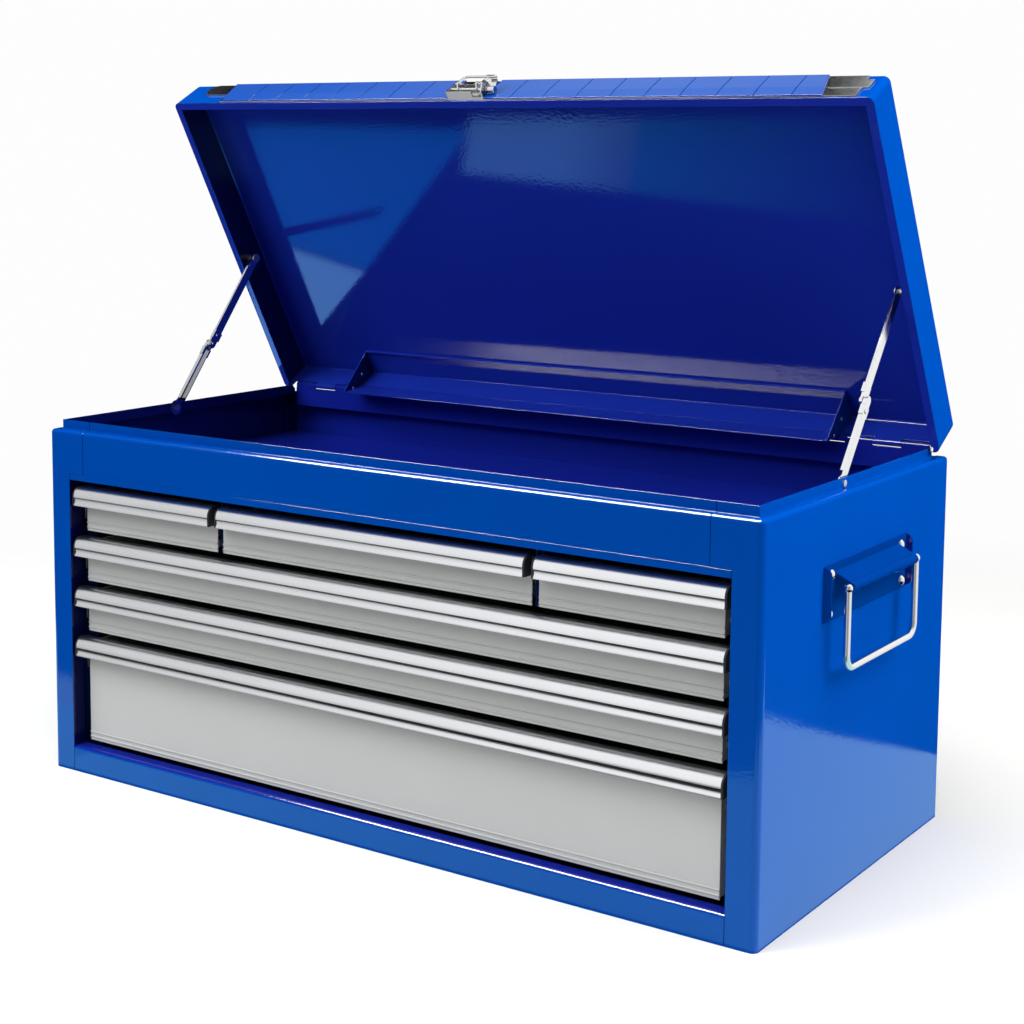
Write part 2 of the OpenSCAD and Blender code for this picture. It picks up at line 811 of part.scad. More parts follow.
// Upper link: a flat strip with a sleeve beside the knuckle
module stay_upper_link() {
    half = upper_w / 2;
    color(bright_metal) translate([0, stay_head[0], stay_head[1]]) rotate([stay_tilt + 180, 0, 0])
        difference() {
            union() {
                bar_x(upper_x, upper_x + upper_t, 0, 0, half);
                bar_x(upper_x, upper_x + upper_t, stay_upper, 0, half);
                bar_x(upper_x - head_t, upper_x, stay_upper, 0, half - sheet);
                block([upper_x, 0, -half], [upper_x + upper_t, stay_upper, half]);
                block([upper_x - head_t, stay_upper - sleeve_start - sleeve_l, -half - sheet / 2],
                    [upper_x + upper_t, stay_upper - sleeve_start, half + sheet / 2]);
            }
            bar_x(upper_x - sheet, upper_x + upper_t + sheet, 0, 0, stud_r + pivot_clear);
        }
}

module stay_lower_left() {
    mirror([1, 0, 0]) stay_lower_link();
}

module stay_lower_right() {
    stay_lower_link();
}

module stay_upper_left() {
    mirror([1, 0, 0]) stay_upper_link();
}

module stay_upper_right() {
    stay_upper_link();
}

// ---------- side handles ----------

// Bracket: a plate on the panel, and a hood that rolls round the bail's pivots
module handle_bracket() {
    top = bracket_z + bracket_h;
    hood_top = bail_z + roll_r + 6;
    hood_half = bail_w / 2 - wire_r - roll_end_gap;
    ear = 6;
    color(paint_blue) translate([0, bracket_y, 0]) {
        block([half_w, -bracket_l / 2, bracket_z], [half_w + bracket_t, bracket_l / 2, top]);
        run_y(-hood_half, hood_half) {
            polygon([
                [half_w, hood_top], [half_w + bracket_t, hood_top],
                [bail_x, bail_z + roll_r], [bail_x, bail_z + roll_r - bracket_t],
                [half_w, hood_top - 2.4 * bracket_t]]);
            translate([bail_x, bail_z]) difference() {
                circle(roll_r);
                circle(roll_r - bracket_t);
                polygon([[0, 0], [-2 * roll_r, 2 * roll_r], [-2 * roll_r, -roll_r]]);
            }
        }
        for (end = [-1, 1]) scale([1, end, 1])
            run_y(bracket_l / 2 - bracket_t, bracket_l / 2) translate([half_w, 0]) {
                translate([0, bracket_z + ear]) square([ear, bracket_h - 2 * ear]);
                for (z = [bracket_z + ear, top - ear]) translate([0, z]) intersection() {
                    circle(ear);
                    translate([0, -ear]) square([ear, 2 * ear]);
                }
            }
    }
}

// Bail: a wire bent to a square U, its ends turned in to pivot in the roll
module handle_bail() {
    leg = bail_w / 2;
    pivot_l = 16;
    module wire(len) cylinder(h = len, r = wire_r);
    module bend(r) rotate_extrude(angle = 90) translate([r, 0]) circle(wire_r);
    color(bright_metal) translate([bail_x, bracket_y, bail_z]) for (end = [-1, 1])
        scale([1, end, 1]) {
            translate([0, leg, bail_r - bail_drop]) wire(bail_drop - bail_r);
            translate([0, leg, 0]) sphere(wire_r);
            translate([0, leg, 0]) rotate([90, 0, 0]) wire(pivot_l);
            translate([0, leg - bail_r, bail_r - bail_drop]) rotate([0, 90, 0]) bend(bail_r);
            translate([0, leg - bail_r, -bail_drop]) rotate([90, 0, 0]) wire(leg - bail_r);
        }
}

module handle_bracket_left() {
    mirror([1, 0, 0]) handle_bracket();
}

module handle_bracket_right() {
    handle_bracket();
}

module handle_bail_left() {
    mirror([1, 0, 0]) handle_bail();
}

module handle_bail_right() {
    handle_bail();
}

module handle_rivets() {
    places = [[upper_rivet_y, upper_rivet_up], [lower_rivet_y, lower_rivet_up]];
    color(bright_metal) both_sides() for (place = places, end = [-1, 1])
        translate([half_w + bracket_t, bracket_y + end * place[0], bracket_z + place[1]])
            dome_head(rivet_r, rivet_dome);
}

// ---------- front rail and latch, drawn on the closed lid ----------

module lid_rail() {
    top = lid_h - ledge_r - 0.5;
    notch = 6;
    lower_left = rail_left + 30;
    lower_right = rail_right - 5;
    end_r = (top - rail_mid - rail_groove) / 2;
    color(bright_metal) on_open_lid() translate([0, lid_face, lid_rim]) difference() {
        union() {
            block([lower_left, -rail_t, rail_low], [lower_right, 0, rail_mid]);
            block([rail_left + end_r, -rail_t, rail_mid + rail_groove], [rail_right, 0, top]);
            block([lower_left, -rail_t / 2, rail_mid], [lower_right, 0, rail_mid + rail_groove]);
            translate([rail_left + end_r, 0, top - end_r]) rotate([90, 0, 0])
                cylinder(h = rail_t, r = end_r);
        }
        block([rail_right - notch, -2 * rail_t, top - notch], [rail_right + 1, 1, top + 1]);
    }
}

// Painted cover over the rail: a shallow ridge, scored into lengths and cut off at a slant
module lid_rail_cover() {
    top = lid_h - ledge_r;
    slant = 7;
    score = 0.5;
    cover_t = 1;
    ridge = 0.6;
    color(paint_blue) on_open_lid() translate([0, latch_back, lid_rim]) difference() {
        run_x(cover_left - slant, cover_right) polygon([
            [0, 0.5], [-cover_t, 0.5], [-cover_t - ridge, rail_mid], [-cover_t, top], [0, top]]);
        for (x = [cover_left + cover_pitch:cover_pitch:cover_right - cover_pitch / 2])
            block([x, -2 * cover_t, 0], [x + score, -cover_t / 2, top + 1]);
        for (x = [cover_left - slant, cover_right])
            translate([x, 1, 0]) rotate([90, 0, 0]) linear_extrude(3 * cover_t) polygon(
                x < 0 ? [[-1, -1], [slant, -1], [slant, 0.5], [0, top], [-1, top]]
                    : [[1, -1], [1, top + 1], [-slant, top + 1], [-slant, top], [0, 0.5], [0, -1]]);
        block([latch_x - latch_w / 2 - seam, -3 * cover_t, -1],
            [latch_x + latch_w / 2 + seam, 1, top + 1]);
    }
}

// Latch base: a shallow open box with a taller cheek on the right
module latch_base() {
    left = latch_x - latch_w / 2;
    right = latch_x + latch_w / 2;
    front = latch_back - latch_h;
    top = latch_low + latch_tall;
    cheek = 5.4;
    color(bright_metal) on_open_lid() difference() {
        union() {
            block([left, latch_back - latch_t, latch_low], [right, latch_back, top]);
            block([left, front, latch_low], [right - 10, latch_back, latch_low + latch_t]);
            block([left, front, top - latch_t], [right, latch_back, top]);
            block([left, front, latch_low], [left + latch_t, latch_back, top]);
            run_x(right - latch_t, right) polygon([
                [latch_back, latch_low], [front, latch_low], [front - cheek, shaft_z - 2],
                [front - cheek, shaft_z + 2], [front, top], [latch_back, top]]);
        }
        bar_x(left - 1, right + 1, shaft_y, shaft_z, shaft_r + pivot_clear);
    }
}

// Cranked shaft with two ears for the wire loop and a curled thumb tab at its right end
module latch_lever() {
    left = latch_x - latch_w / 2;
    right = latch_x + latch_w / 2;
    ear_in = loop_w / 2 - loop_r - 1.5;
    tab_w = 8;
    tab_l = 8;
    hub_r = 2.6;
    curl_r = 2.4;
    color(bright_metal) on_open_lid() {
        bar_x(left - 0.8, right + 1, shaft_y, shaft_z, shaft_r);
        for (side = [-1, 1]) difference() {
            translate([latch_x + side * ear_in - latch_t / 2, shaft_y, shaft_z])
                rotate([atan2(crank[1], crank[0]), 0, 0]) {
                    bar_x(0, latch_t, 0, 0, hub_r);
                    bar_x(0, latch_t, norm(crank), 0, loop_r + 1.1);
                    block([0, 0, -loop_r - 1.1], [latch_t, norm(crank), loop_r + 1.1]);
                }
            bar_x(left, right, crank_y, crank_z, loop_r + pivot_clear);
        }
        translate([right + 0.6, shaft_y, shaft_z]) {
            bar_x(0, tab_w, 0, 0, hub_r);
            rotate([126, 0, 0]) {
                block([0, 0, -latch_t / 2], [tab_w, tab_l, latch_t / 2]);
                translate([0, tab_l, curl_r]) run_x(0, tab_w) difference() {
                    circle(curl_r + latch_t / 2);
                    circle(curl_r - latch_t / 2);
                    translate([-2 * curl_r, -2 * curl_r]) square([2 * curl_r, 4 * curl_r]);
                }
            }
        }
    }
}

// Wire loop of the latch, leaning back over the base
module latch_loop() {
    bend_r = 3;
    lean = -5;
    pivot_l = 4.5;
    leg = loop_w / 2;
    module wire(len) cylinder(h = len, r = loop_r);
    color(bright_metal) on_open_lid() translate([latch_x, crank_y, crank_z]) rotate([lean, 0, 0])
        for (side = [-1, 1]) scale([side, 1, 1]) {
            translate([leg, 0, 0]) wire(loop_l - bend_r);
            translate([leg, 0, 0]) sphere(loop_r);
            translate([leg, 0, 0]) rotate([0, -90, 0]) wire(pivot_l);
            translate([leg - bend_r, 0, loop_l - bend_r]) rotate([90, 0, 0])
                rotate_extrude(angle = 90) translate([bend_r, 0]) circle(loop_r);
            translate([0, 0, loop_l]) rotate([0, 90, 0]) wire(leg - bend_r);
        }
}

side_panel_left();
side_panel_right();
back_panel();
base_pan();
front_header();
top_rail();
bottom_rail();
till_floor();
divider_left();
divider_right();
slide_uprights();
cabinet_slides();
hinge_body_leaf();
hinge_pin();
handle_bracket_left();
handle_bracket_right();
handle_rivets();
stay_rivets();
lid_shell();
hinge_lid_leaf();
lid_bracket();
lid_rail();
lid_rail_cover();
latch_base();
stay_studs();
latch_lever();
latch_loop();
stay_lower_left();
stay_lower_right();
stay_upper_left();
stay_upper_right();
handle_bail_left();
handle_bail_right();
tray(LEFT);  // top_left_tray
pull(LEFT);  // top_left_pull
plugs(LEFT);  // top_left_plugs
runners(LEFT);  // top_left_runners
tray(MIDDLE);  // top_middle_tray
pull(MIDDLE);  // top_middle_pull
plugs(MIDDLE);  // top_middle_plugs
runners(MIDDLE);  // top_middle_runners
tray(RIGHT);  // top_right_tray
pull(RIGHT);  // top_right_pull
plugs(RIGHT);  // top_right_plugs
runners(RIGHT);  // top_right_runners
tray(3);  // second_tray
pull(3);  // second_pull
plugs(3);  // second_plugs
runners(3);  // second_runners
tray(4);  // third_tray
pull(4);  // third_pull
plugs(4);  // third_plugs
runners(4);  // third_runners
tray(5);  // bottom_tray
pull(5);  // bottom_pull
plugs(5);  // bottom_plugs
runners(5);  // bottom_runners
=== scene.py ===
"""Dresses a sheet-steel tool chest: enamel, brushed pulls, plated fittings and a pale studio."""

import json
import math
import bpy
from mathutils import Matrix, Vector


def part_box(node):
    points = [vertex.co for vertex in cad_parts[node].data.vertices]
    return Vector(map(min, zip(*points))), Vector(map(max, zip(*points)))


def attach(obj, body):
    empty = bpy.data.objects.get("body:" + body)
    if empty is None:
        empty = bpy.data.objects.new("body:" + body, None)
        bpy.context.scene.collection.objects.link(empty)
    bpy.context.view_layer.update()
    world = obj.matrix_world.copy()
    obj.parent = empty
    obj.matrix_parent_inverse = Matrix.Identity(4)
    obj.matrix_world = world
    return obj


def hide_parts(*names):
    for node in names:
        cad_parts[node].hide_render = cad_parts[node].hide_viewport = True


bl_info = {
    "name": "Tool Chest Finish",
    "version": (1, 0, 0),
    "blender": (4, 5, 0),
    "location": "View3D > Sidebar > Tool Chest",
    "description": "Paints a tool chest and adds its small rivets and fittings",
    "category": "Object",
}

import bmesh
import bpy
import numpy as np
from bpy.props import FloatProperty, FloatVectorProperty, PointerProperty, StringProperty
from mathutils import Matrix

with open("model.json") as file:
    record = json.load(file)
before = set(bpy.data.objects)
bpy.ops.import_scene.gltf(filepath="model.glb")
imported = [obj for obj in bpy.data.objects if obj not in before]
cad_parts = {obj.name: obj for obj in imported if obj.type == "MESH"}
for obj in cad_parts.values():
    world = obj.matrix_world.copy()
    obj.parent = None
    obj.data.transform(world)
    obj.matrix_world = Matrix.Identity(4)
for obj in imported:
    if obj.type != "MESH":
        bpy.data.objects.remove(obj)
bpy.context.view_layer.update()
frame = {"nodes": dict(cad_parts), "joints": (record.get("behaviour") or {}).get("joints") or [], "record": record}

MM = 0.001
# Drawers whose fronts stand over another drawer's pull
UPPER_DRAWERS = ("top_left", "top_middle", "top_right", "second", "third")
SIDES = {"left": -1.0, "right": 1.0}

# Where each joint's axis stands, the lid's hinge line and the angle that the lid stands open at rest
PIVOTS = {joint["name"]: np.array(joint["pos_m"]) for joint in frame["joints"] if "pos_m" in joint}
HINGE = PIVOTS["lid_hinge"]
LID_OPEN = math.radians(61.0)

# Length of a stay's lower link between its pivots, and the rivets' places back from the knuckle
LOWER_LINK = 68.4 * MM
KNUCKLE_RIVETS = {"lower": (9.0 * MM,), "upper": (0.0, 9.0 * MM)}
# How deep a stay rivet's foot is set into the face that carries it
SEAT = 0.05 * MM
# Height of a rivet's head, and of the smaller ones in the gussets
HEAD = 0.9 * MM
SMALL_HEAD = 0.8 * MM
# The wire of a side handle turns in this far to each side of its middle
BAIL_REACH = 60.0 * MM

# Pieces that are enamelled with the lid
LID_NODES = ("lid_shell", "hinge_lid_leaf", "lid_bracket", "lid_rail_cover")
# Faces that look towards these points, in the till and in the lid, get the darker inside colour, which is painted
# shade
TILL_MIDDLE = (0.0, 0.0, 0.27)
CLOSED_LID_MIDDLE = (0.0, -0.005, 0.25)

EAST = (1.0, 0.0, 0.0)
UP = (0.0, 0.0, 1.0)
# Level of the till's mouth, and of the sheets that lie just over the floor and just under the chest
MOUTH = 0.3
OVER_FLOOR = 0.2 * MM
UNDER_CHEST = -0.2 * MM


# ---------- colours and sizes that a user would change ----------

def linear_colour(code):
    """Linear RGBA of an sRGB hex colour: each channel above 0.04045 is ((c + 0.055) / 1.055) ** 2.4."""
    srgb = np.array([int(code[i:i + 2], 16) for i in (1, 3, 5)]) / 255.0
    linear = np.where(srgb <= 0.04045, srgb / 12.92, ((srgb + 0.055) / 1.055) ** 2.4)
    return (*linear.tolist(), 1.0)


class FinishProperties(bpy.types.PropertyGroup):
    """Colours of the chest's finishes, as sRGB hex values."""

    enamel: StringProperty(
        name="Enamel", description="Blue enamel of the cabinet and lid", default="#00439F")
    # The two inside colours are painted shade: darker blues that stand in for the shade inside the till and the
    # lid
    till_inside_shade: StringProperty(
        name="Enamel inside", description="The thinner coat inside the till", default="#12228E")
    enamel_lid: StringProperty(
        name="Enamel inside the lid", description="The coat on the lid's inside", default="#182FA2")
    front_enamel: StringProperty(
        name="Front enamel", description="Grey enamel of the drawers", default="#B9BBBB")
    aluminium: StringProperty(
        name="Aluminium", description="Anodised aluminium of the pulls", default="#E6E7EA")
    plate: StringProperty(
        name="Bright plate", description="Nickel plate of the fittings", default="#DDDEDF")
    zinc: StringProperty(
        name="Zinc plate", description="Zinc plate of the slides", default="#CFD1D3")
    plug: StringProperty(
        name="End plug", description="Moulded plastic of the pulls' end plugs", default="#2B2D31")


class FittingProperties(bpy.types.PropertyGroup):
    """Sizes of the small fittings that are added round the frame."""

    knuckle_rivet: FloatProperty(
        name="Stay rivet", description="Radius of the rivets beside a stay's knuckle",
        default=1.9 * MM, min=0.0, unit="LENGTH")
    hinge_rivet: FloatProperty(
        name="Hinge rivet", description="Radius of the rivets in the hinge's leaves",
        default=2.2 * MM, min=0.0, unit="LENGTH")
    gusset_rivet: FloatProperty(
        name="Gusset rivet", description="Radius of the rivets in the bracket's gussets",
        default=1.8 * MM, min=0.0, unit="LENGTH")
    bail_ball: FloatProperty(
        name="Bail ball", description="Radius of the swollen bend where a bail enters its roll",
        default=3.3 * MM, min=0.0, unit="LENGTH")
    front_trim: FloatProperty(
        name="Front trim", description="How far the upper fronts end above the next drawer's pull",
        default=4.0 * MM, min=0.0, unit="LENGTH")
    foot_band: FloatProperty(
        name="Foot band", description="Height of a front's foot, beads and floor, which keep their shape",
        default=9.0 * MM, min=0.0, unit="LENGTH")


class StudioProperties(bpy.types.PropertyGroup):
    """The camera and the light of the studio."""

    eye: FloatVectorProperty(
        name="Eye", description="Where the camera stands", default=(0.85525, -1.22832, 0.5238),
        size=3, subtype="TRANSLATION", unit="LENGTH")
    turn: FloatProperty(
        name="Turn", description="How far the camera looks round to its left",
        default=math.radians(33.95889), subtype="ANGLE", unit="ROTATION")
    dip: FloatProperty(
        name="Dip", description="How far the camera looks down",
        default=math.radians(6.36474), subtype="ANGLE", unit="ROTATION")
    roll: FloatProperty(
        name="Roll", description="How far the camera is tilted about its own axis",
        default=math.radians(0.46845), subtype="ANGLE", unit="ROTATION")
    lens: FloatProperty(
        name="Lens", description="Focal length in millimetres on a 36 mm wide sensor", default=66.13)
    rise: FloatProperty(
        name="Rise", description="Vertical shift of the lens, as a share of the frame", default=-0.15)
    floor: StringProperty(
        name="Floor", description="Colour of the pale floor", default="#E4E4E2")


# ---------- surfaces ----------

def new_object(name, data):
    """An object for a mesh, a lamp or a camera, in the scene, at the origin."""
    piece = bpy.data.objects.new(name, data)
    bpy.context.scene.collection.objects.link(piece)
    return piece


def grid_mesh(name, points, close_v=False):
    """Mesh object of a grid of points p(u, v): quads join neighbours, and close_v joins the last
    column to the first."""
    rows, columns = points.shape[:2]
    index = np.arange(rows * columns).reshape(rows, columns)
    if close_v:
        index = np.concatenate([index, index[:, :1]], axis=1)
    quads = np.stack([index[:-1, :-1], index[1:, :-1], index[1:, 1:], index[:-1, 1:]], axis=-1)
    mesh = bpy.data.meshes.new(name)
    mesh.from_pydata(points.reshape(-1, 3).tolist(), [], quads.reshape(-1, 4).tolist())
    weld_and_turn_out(mesh)
    return new_object(name, mesh)


def weld_and_turn_out(mesh):
    """Merges doubled points, drops faces with no area, turns the normals out and shades smooth."""
    work = bmesh.new()
    work.from_mesh(mesh)
    bmesh.ops.remove_doubles(work, verts=work.verts, dist=1e-6)
    bmesh.ops.dissolve_degenerate(work, edges=work.edges, dist=1e-7)
    bmesh.ops.recalc_face_normals(work, faces=work.faces)
    work.to_mesh(mesh)
    work.free()
    mesh.polygons.foreach_set("use_smooth", np.ones(len(mesh.polygons), dtype=bool))
    mesh.update()


def axes_of(direction):
    """Two unit vectors square to a direction and to each other."""
    direction = direction / np.linalg.norm(direction)
    helper = np.array([0.0, 0.0, 1.0]) if abs(direction[2]) < 0.9 else np.array([0.0, 1.0, 0.0])
    first = np.cross(direction, helper)
    first /= np.linalg.norm(first)
    return first, np.cross(direction, first)


def turned_points(profile, centre, direction, steps=28):
    """Surface of revolution: centre + h d + r (cos t a + sin t b), for a profile of (r, h) pairs about d."""
    direction = np.asarray(direction, float)
    direction = direction / np.linalg.norm(direction)
    a, b = axes_of(direction)
    turn = np.linspace(0.0, 2.0 * math.pi, steps, endpoint=False)
    ring = np.cos(turn)[:, None] * a + np.sin(turn)[:, None] * b
    r, h = np.asarray(profile, float).T
    return (np.asarray(centre, float) + h[:, None, None] * direction
            + r[:, None, None] * ring[None, :, :])


def dome_profile(radius, height, sink=0.3 * MM, steps=8):
    """Rivet head in section: from its sunk foot up over an ellipse r = R cos t, h = H sin t."""
    t = np.linspace(0.0, math.pi / 2.0, steps)
    cap = np.stack([radius * np.cos(t), height * np.sin(t)], axis=1)
    return np.concatenate([[[0.0, -sink], [radius, -sink]], cap])


def rivet_row(name, places, radius, height):
    """One mesh of like rivets: places are (centre, outward direction) pairs."""
    profile = dome_profile(radius, height)
    heads = [grid_mesh(f"{name}_{i}", turned_points(profile, centre, out, 20), close_v=True)
             for i, (centre, out) in enumerate(places)]
    return joined(name, heads)


def joined(name, parts):
    """Joins objects into the first, which takes the name."""
    work = bmesh.new()
    for part in parts:
        work.from_mesh(part.data)
    mesh = bpy.data.meshes.new(name)
    work.to_mesh(mesh)
    work.free()
    for part in parts:
        old = part.data
        bpy.data.objects.remove(part)
        bpy.data.meshes.remove(old)
    return new_object(name, mesh)


def swung(point):
    """A point of the closed lid, turned about the hinge line to where the lid stands at rest."""
    y, z = point[1] - HINGE[1], point[2] - HINGE[2]
    c, s = math.cos(LID_OPEN), math.sin(LID_OPEN)
    return np.array([point[0], HINGE[1] + y * c + z * s, HINGE[2] - y * s + z * c])


def swung_direction(direction):
    """A direction of the closed lid, turned as the lid is at rest."""
    return swung(np.asarray(direction, float) + HINGE) - HINGE


# ---------- finishes ----------

def add_node(tree, kind, links=None, **settings):
    """Adds one node; settings are its attributes, or its sockets' values by index or name in links."""
    node = tree.nodes.new(kind)
    for key, value in settings.items():
        setattr(node, key, value)
    for socket, value in (links or {}).items():
        target = node.inputs[socket]
        if isinstance(value, bpy.types.NodeSocket):
            tree.links.new(value, target)
        else:
            target.default_value = value
    return node


def new_material(name):
    """An empty node material with a Principled shader on its output."""
    material = bpy.data.materials.new(name)
    material.use_nodes = True
    tree = material.node_tree
    tree.nodes.clear()
    shader = add_node(tree, "ShaderNodeBsdfPrincipled")
    add_node(tree, "ShaderNodeOutputMaterial", {"Surface": shader.outputs["BSDF"]})
    return material, tree, shader


def blue_enamel(name, colour, inside, centre):
    """Glossy baked enamel sprayed on folded steel sheet: a clear wet-looking skin with a faint
    orange peel. Faces that look towards the centre get a darker inside colour, painted shade of
    the unlit inside, and inside faces on the end walls are darker still, more painted shade."""
    material, tree, shader = new_material(name)
    place = add_node(tree, "ShaderNodeTexCoord").outputs["Object"]
    surface = add_node(tree, "ShaderNodeNewGeometry")
    # The true normal in the piece's own space, so that the coats stay put when the piece moves
    normal = add_node(tree, "ShaderNodeVectorTransform", {"Vector": surface.outputs["True Normal"]},
                      vector_type="NORMAL", convert_from="WORLD", convert_to="OBJECT")
    # Dot product of the normal and the way from the centre: below 0 on the inside
    from_centre = add_node(tree, "ShaderNodeVectorMath", {0: place, 1: centre}, operation="SUBTRACT")
    outward = add_node(tree, "ShaderNodeVectorMath",
                       {0: normal.outputs["Vector"], 1: from_centre.outputs["Vector"]},
                       operation="DOT_PRODUCT")
    is_inside = add_node(tree, "ShaderNodeMath", {0: outward.outputs["Value"], 1: 0.0},
                         operation="LESS_THAN")
    # Uneven film build, in patches of about 90 mm
    patches = add_node(tree, "ShaderNodeTexNoise", {"Vector": place, "Scale": 11.0, "Detail": 2.0})
    # Painted shade: inside faces that look along x, the end walls, get their inside colour darkened to 0.22 of its
    # value
    facing = add_node(tree, "ShaderNodeSeparateXYZ", {0: normal.outputs["Vector"]})
    sideways = add_node(tree, "ShaderNodeMath", {0: facing.outputs["X"]}, operation="ABSOLUTE")
    end_wall_shade_mask = add_node(tree, "ShaderNodeMapRange",
                        {"Value": sideways.outputs["Value"], "From Min": 0.5, "From Max": 0.9})
    end_wall_shade = add_node(tree, "ShaderNodeHueSaturation",
                    {"Value": 0.22, "Fac": end_wall_shade_mask.outputs["Result"], "Color": linear_colour(inside)})
    # Outside faces take the enamel and inside faces take the darker inside colour, which is painted shade of the
    # unlit inside
    coat = add_node(tree, "ShaderNodeMix",
                    {0: is_inside.outputs["Value"], 6: linear_colour(colour), 7: end_wall_shade.outputs["Color"]},
                    data_type="RGBA")
    deep = add_node(tree, "ShaderNodeHueSaturation",
                    {"Value": 0.86, "Color": coat.outputs[2]})
    shade = add_node(tree, "ShaderNodeMix",
                     {0: patches.outputs["Fac"], 6: deep.outputs["Color"], 7: coat.outputs[2]},
                     data_type="RGBA")
    tree.links.new(shade.outputs[2], shader.inputs["Base Color"])
    sheen = add_node(tree, "ShaderNodeMapRange",
                     {"Value": patches.outputs["Fac"], "To Min": 0.05, "To Max": 0.09})
    tree.links.new(sheen.outputs["Result"], shader.inputs["Roughness"])
    shader.inputs["IOR"].default_value = 1.5
    # Orange peel is 1 to 2 mm across; it is drawn 2.4 mm across so that it shows
    peel = add_node(tree, "ShaderNodeTexNoise", {"Vector": place, "Scale": 420.0, "Detail": 1.0})
    # Sheet metal is never quite flat: slow waves about 120 mm long
    waves = add_node(tree, "ShaderNodeTexNoise", {"Vector": place, "Scale": 8.0, "Detail": 0.0})
    edge = add_node(tree, "ShaderNodeBevel", {"Radius": 0.7 * MM}, samples=4)
    wavy = add_node(tree, "ShaderNodeBump",
                    {"Strength": 0.3, "Distance": 1.2 * MM, "Height": waves.outputs["Fac"],
                     "Normal": edge.outputs["Normal"]})
    peeled = add_node(tree, "ShaderNodeBump",
                      {"Strength": 0.25, "Distance": 0.2 * MM, "Height": peel.outputs["Fac"],
                       "Normal": wavy.outputs["Normal"]})
    tree.links.new(peeled.outputs["Normal"], shader.inputs["Normal"])
    return material


def grey_enamel(name, colour):
    """Satin baked enamel of the drawers: soft broad highlights, and a faint mottle of the film."""
    material, tree, shader = new_material(name)
    place = add_node(tree, "ShaderNodeTexCoord").outputs["Object"]
    mottle = add_node(tree, "ShaderNodeTexNoise", {"Vector": place, "Scale": 14.0, "Detail": 3.0})
    deep = add_node(tree, "ShaderNodeHueSaturation", {"Value": 0.93, "Color": linear_colour(colour)})
    shade = add_node(tree, "ShaderNodeMix",
                     {0: mottle.outputs["Fac"], 6: deep.outputs["Color"], 7: linear_colour(colour)},
                     data_type="RGBA")
    tree.links.new(shade.outputs[2], shader.inputs["Base Color"])
    sheen = add_node(tree, "ShaderNodeMapRange",
                     {"Value": mottle.outputs["Fac"], "To Min": 0.32, "To Max": 0.44})
    tree.links.new(sheen.outputs["Result"], shader.inputs["Roughness"])
    shader.inputs["IOR"].default_value = 1.5
    # Fine texture of a satin film, under 1 mm across, drawn 1.6 mm across
    grain = add_node(tree, "ShaderNodeTexNoise", {"Vector": place, "Scale": 620.0, "Detail": 1.0})
    edge = add_node(tree, "ShaderNodeBevel", {"Radius": 0.6 * MM}, samples=4)
    rough = add_node(tree, "ShaderNodeBump",
                     {"Strength": 0.1, "Distance": 0.12 * MM, "Height": grain.outputs["Fac"],
                      "Normal": edge.outputs["Normal"]})
    tree.links.new(rough.outputs["Normal"], shader.inputs["Normal"])
    return material


def brushed_metal(name, colour, roughness, stretch, line_mm, depth=0.25):
    """Plated or anodised metal: long brush or draw lines set the roughness and a faint bump.
    Lines lie along the axis whose stretch is smallest; their width is line_mm."""
    material, tree, shader = new_material(name)
    place = add_node(tree, "ShaderNodeTexCoord").outputs["Object"]
    drawn = add_node(tree, "ShaderNodeMapping", {"Vector": place, "Scale": stretch})
    lines = add_node(tree, "ShaderNodeTexNoise",
                     {"Vector": drawn.outputs["Vector"], "Scale": 1.0 / (line_mm * MM), "Detail": 2.0})
    patches = add_node(tree, "ShaderNodeTexNoise", {"Vector": place, "Scale": 30.0, "Detail": 2.0})
    tone = add_node(tree, "ShaderNodeHueSaturation", {"Value": 0.9, "Color": linear_colour(colour)})
    shade = add_node(tree, "ShaderNodeMix",
                     {0: lines.outputs["Fac"], 6: tone.outputs["Color"], 7: linear_colour(colour)},
                     data_type="RGBA")
    tree.links.new(shade.outputs[2], shader.inputs["Base Color"])
    shader.inputs["Metallic"].default_value = 1.0
    sheen = add_node(tree, "ShaderNodeMapRange",
                     {"Value": lines.outputs["Fac"], "To Min": roughness * 0.8, "To Max": roughness * 1.25})
    wear = add_node(tree, "ShaderNodeMapRange",
                    {"Value": patches.outputs["Fac"], "To Min": -0.03, "To Max": 0.05})
    total = add_node(tree, "ShaderNodeMath",
                     {0: sheen.outputs["Result"], 1: wear.outputs["Result"]}, operation="ADD")
    tree.links.new(total.outputs["Value"], shader.inputs["Roughness"])
    edge = add_node(tree, "ShaderNodeBevel", {"Radius": 0.35 * MM}, samples=4)
    grooves = add_node(tree, "ShaderNodeBump",
                       {"Strength": depth, "Distance": 0.05 * MM, "Height": lines.outputs["Fac"],
                        "Normal": edge.outputs["Normal"]})
    tree.links.new(grooves.outputs["Normal"], shader.inputs["Normal"])
    return material


def moulded_plastic(name, colour):
    """Moulded polypropylene of the end plugs: dark and slightly sparkled by the mould's texture."""
    material, tree, shader = new_material(name)
    place = add_node(tree, "ShaderNodeTexCoord").outputs["Object"]
    spark = add_node(tree, "ShaderNodeTexNoise", {"Vector": place, "Scale": 900.0, "Detail": 2.0})
    lighter = add_node(tree, "ShaderNodeHueSaturation", {"Value": 1.3, "Color": linear_colour(colour)})
    shade = add_node(tree, "ShaderNodeMix",
                     {0: spark.outputs["Fac"], 6: linear_colour(colour), 7: lighter.outputs["Color"]},
                     data_type="RGBA")
    tree.links.new(shade.outputs[2], shader.inputs["Base Color"])
    shader.inputs["Roughness"].default_value = 0.45
    shader.inputs["IOR"].default_value = 1.49
    bump = add_node(tree, "ShaderNodeBump",
                    {"Strength": 0.2, "Distance": 0.05 * MM, "Height": spark.outputs["Fac"]})
    tree.links.new(bump.outputs["Normal"], shader.inputs["Normal"])
    return material


